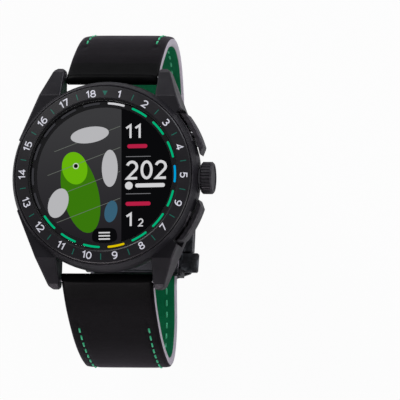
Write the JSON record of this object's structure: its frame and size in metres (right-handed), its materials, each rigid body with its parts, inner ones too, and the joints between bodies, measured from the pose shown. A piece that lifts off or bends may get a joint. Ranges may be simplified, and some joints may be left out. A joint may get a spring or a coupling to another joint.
{
  "type": "golf gps watch",
  "caption": "Round golf watch with a touch display under a numbered bezel, a turning crown, curved pushers and a stitched leather strap with a folding clasp.",
  "frame": {"origin": "centre of the case back's flat wrist-side face", "axes": "+Z out of the crystal, +Y towards 12 o'clock, +X towards the crown at 3 o'clock"},
  "size_m": [0.0479, 0.0785, 0.0571],
  "materials": {
    "black_case": "satin black coating on machined titanium",
    "black_steel_back": "fine brushed, dark coating",
    "bezel_ceramic": "polished black ceramic",
    "rubber_seal": "matt moulded rubber",
    "sapphire": "polished flat sapphire",
    "display_glass": "display panel",
    "flex_film": "amber polyimide film",
    "module_plastic": "moulded plastic",
    "battery_foil": "matt foil pouch",
    "circuit_board": "solder mask",
    "shield_steel": "turned and stamped steel",
    "spring_steel": "drawn steel",
    "contact_gold": "gold plated",
    "strap_leather": "smooth semi-gloss calf leather",
    "strap_lining": "matt dyed leather lining",
    "forged_carbon": "marbled chopped-fibre laminate, satin",
    "clasp_steel": "satin black coating"
  },
  "bodies": {
    "head": {"mid_case": "black_case", "case_back": "black_steel_back", "case_back_screws": "black_steel_back", "case_back_gasket": "rubber_seal", "bezel_ring": "bezel_ceramic", "bezel_gasket": "rubber_seal", "crystal": "sapphire", "crystal_gasket": "rubber_seal", "display_module": "display_glass", "display_cable": "flex_film", "antenna_ring": "module_plastic", "chassis_frame": "module_plastic", "battery": "battery_foil", "main_board": "circuit_board", "processor_shield": "shield_steel", "haptic_motor": "shield_steel", "sensor_window": "sapphire", "sensor_board": "circuit_board", "charging_contacts": "contact_gold", "crown_tube": "shield_steel", "crown_seal": "rubber_seal", "crown_switch": "module_plastic", "crown_sensor": "module_plastic", "upper_pusher_seal": "rubber_seal", "lower_pusher_seal": "rubber_seal", "upper_pusher_spring": "spring_steel", "lower_pusher_spring": "spring_steel", "pusher_switches": "module_plastic", "spring_bars": "spring_steel", "spring_bar_tips": "spring_steel"},
    "encoder": {"encoder_wheel": "shield_steel"},
    "crown": {"crown": "black_case", "crown_stem": "shield_steel", "crown_clip": "shield_steel"},
    "upper_pusher": {"upper_pusher_cap": "black_case", "upper_pusher_stem": "shield_steel", "upper_pusher_clip": "shield_steel"},
    "lower_pusher": {"lower_pusher_cap": "black_case", "lower_pusher_stem": "shield_steel", "lower_pusher_clip": "shield_steel"},
    "strap_upper": {"strap_upper_leather": "strap_leather", "strap_upper_lining": "strap_lining", "strap_pin": "spring_steel"},
    "strap_lower": {"strap_lower_leather": "strap_leather", "strap_lower_lining": "strap_lining"},
    "clasp_base": {"strap_tail_leather": "strap_leather", "strap_tail_lining": "strap_lining", "clasp_base_blade": "clasp_steel", "fold_pin": "spring_steel", "clamp_pin": "spring_steel"},
    "clamp_flap": {"clamp_flap": "clasp_steel"},
    "clasp_cover": {"clasp_cover": "forged_carbon", "clasp_top_blade": "clasp_steel", "left_button_spring": "spring_steel", "right_button_spring": "spring_steel"},
    "left_button": {"left_button": "forged_carbon"},
    "right_button": {"right_button": "forged_carbon"}
  },
  "joints": [
    {"name": "crown_turn", "type": "hinge", "parent": "head", "child": "encoder", "pos_m": [0, 0, 0.0063], "axis": [1, 0, 0], "continuous": true},
    {"name": "crown_press", "type": "slide", "parent": "encoder", "child": "crown", "axis": [-1, 0, 0], "range_m": [0, 0.0005], "stiffness_N_per_m": 20, "springref_m": -0.001},
    {"name": "upper_pusher_press", "type": "slide", "parent": "head", "child": "upper_pusher", "axis": [-0.887, -0.4617, 0], "range_m": [0, 0.0004], "stiffness_N_per_m": 20, "springref_m": -0.001, "deforming": ["upper_pusher_spring"]},
    {"name": "lower_pusher_press", "type": "slide", "parent": "head", "child": "lower_pusher", "axis": [-0.887, 0.4617, 0], "range_m": [0, 0.0004], "stiffness_N_per_m": 20, "springref_m": -0.001, "deforming": ["lower_pusher_spring"]},
    {"name": "clasp_opening", "type": "hinge", "parent": "head", "child": "strap_lower", "pos_m": [0, -0.0238, 0.0032], "axis": [1, 0, 0], "range_deg": [0, 39.3]},
    {"name": "strap_upper_swing", "type": "hinge", "parent": "head", "child": "strap_upper", "pos_m": [0, 0.0238, 0.0032], "axis": [1, 0, 0], "range_deg": [0, 40.07]},
    {"name": "strap_end_flex", "type": "hinge", "parent": "strap_lower", "child": "clasp_base", "pos_m": [0, -0.0205, -0.03412], "axis": [1, 0, 0], "range_deg": [-46.06, 0]},
    {"name": "clasp_fold", "type": "hinge", "parent": "clasp_base", "child": "clasp_cover", "pos_m": [0, 0.0155, -0.03614], "axis": [1, 0, 0], "range_deg": [0, 60.35]},
    {"name": "clamp_flap_hinge", "type": "hinge", "parent": "clasp_base", "child": "clamp_flap", "pos_m": [0, -0.0182, -0.03291], "axis": [1, 0, 0], "range_deg": [0, 70]},
    {"name": "left_button_press", "type": "slide", "parent": "clasp_cover", "child": "left_button", "axis": [1, 0, 0], "range_m": [0, 0.0008], "stiffness_N_per_m": 10, "springref_m": -0.001, "deforming": ["left_button_spring"]},
    {"name": "right_button_press", "type": "slide", "parent": "clasp_cover", "child": "right_button", "axis": [-1, 0, 0], "range_m": [0, 0.0008], "stiffness_N_per_m": 10, "springref_m": -0.001, "deforming": ["right_button_spring"]}
  ],
  "couplings": [
    {"joint": "strap_upper_swing", "follows": "clasp_opening", "ratio": 1.0146},
    {"joint": "strap_end_flex", "follows": "clasp_opening", "ratio": -1.1668},
    {"joint": "clasp_fold", "follows": "clasp_opening", "ratio": 1.5281}
  ]
}
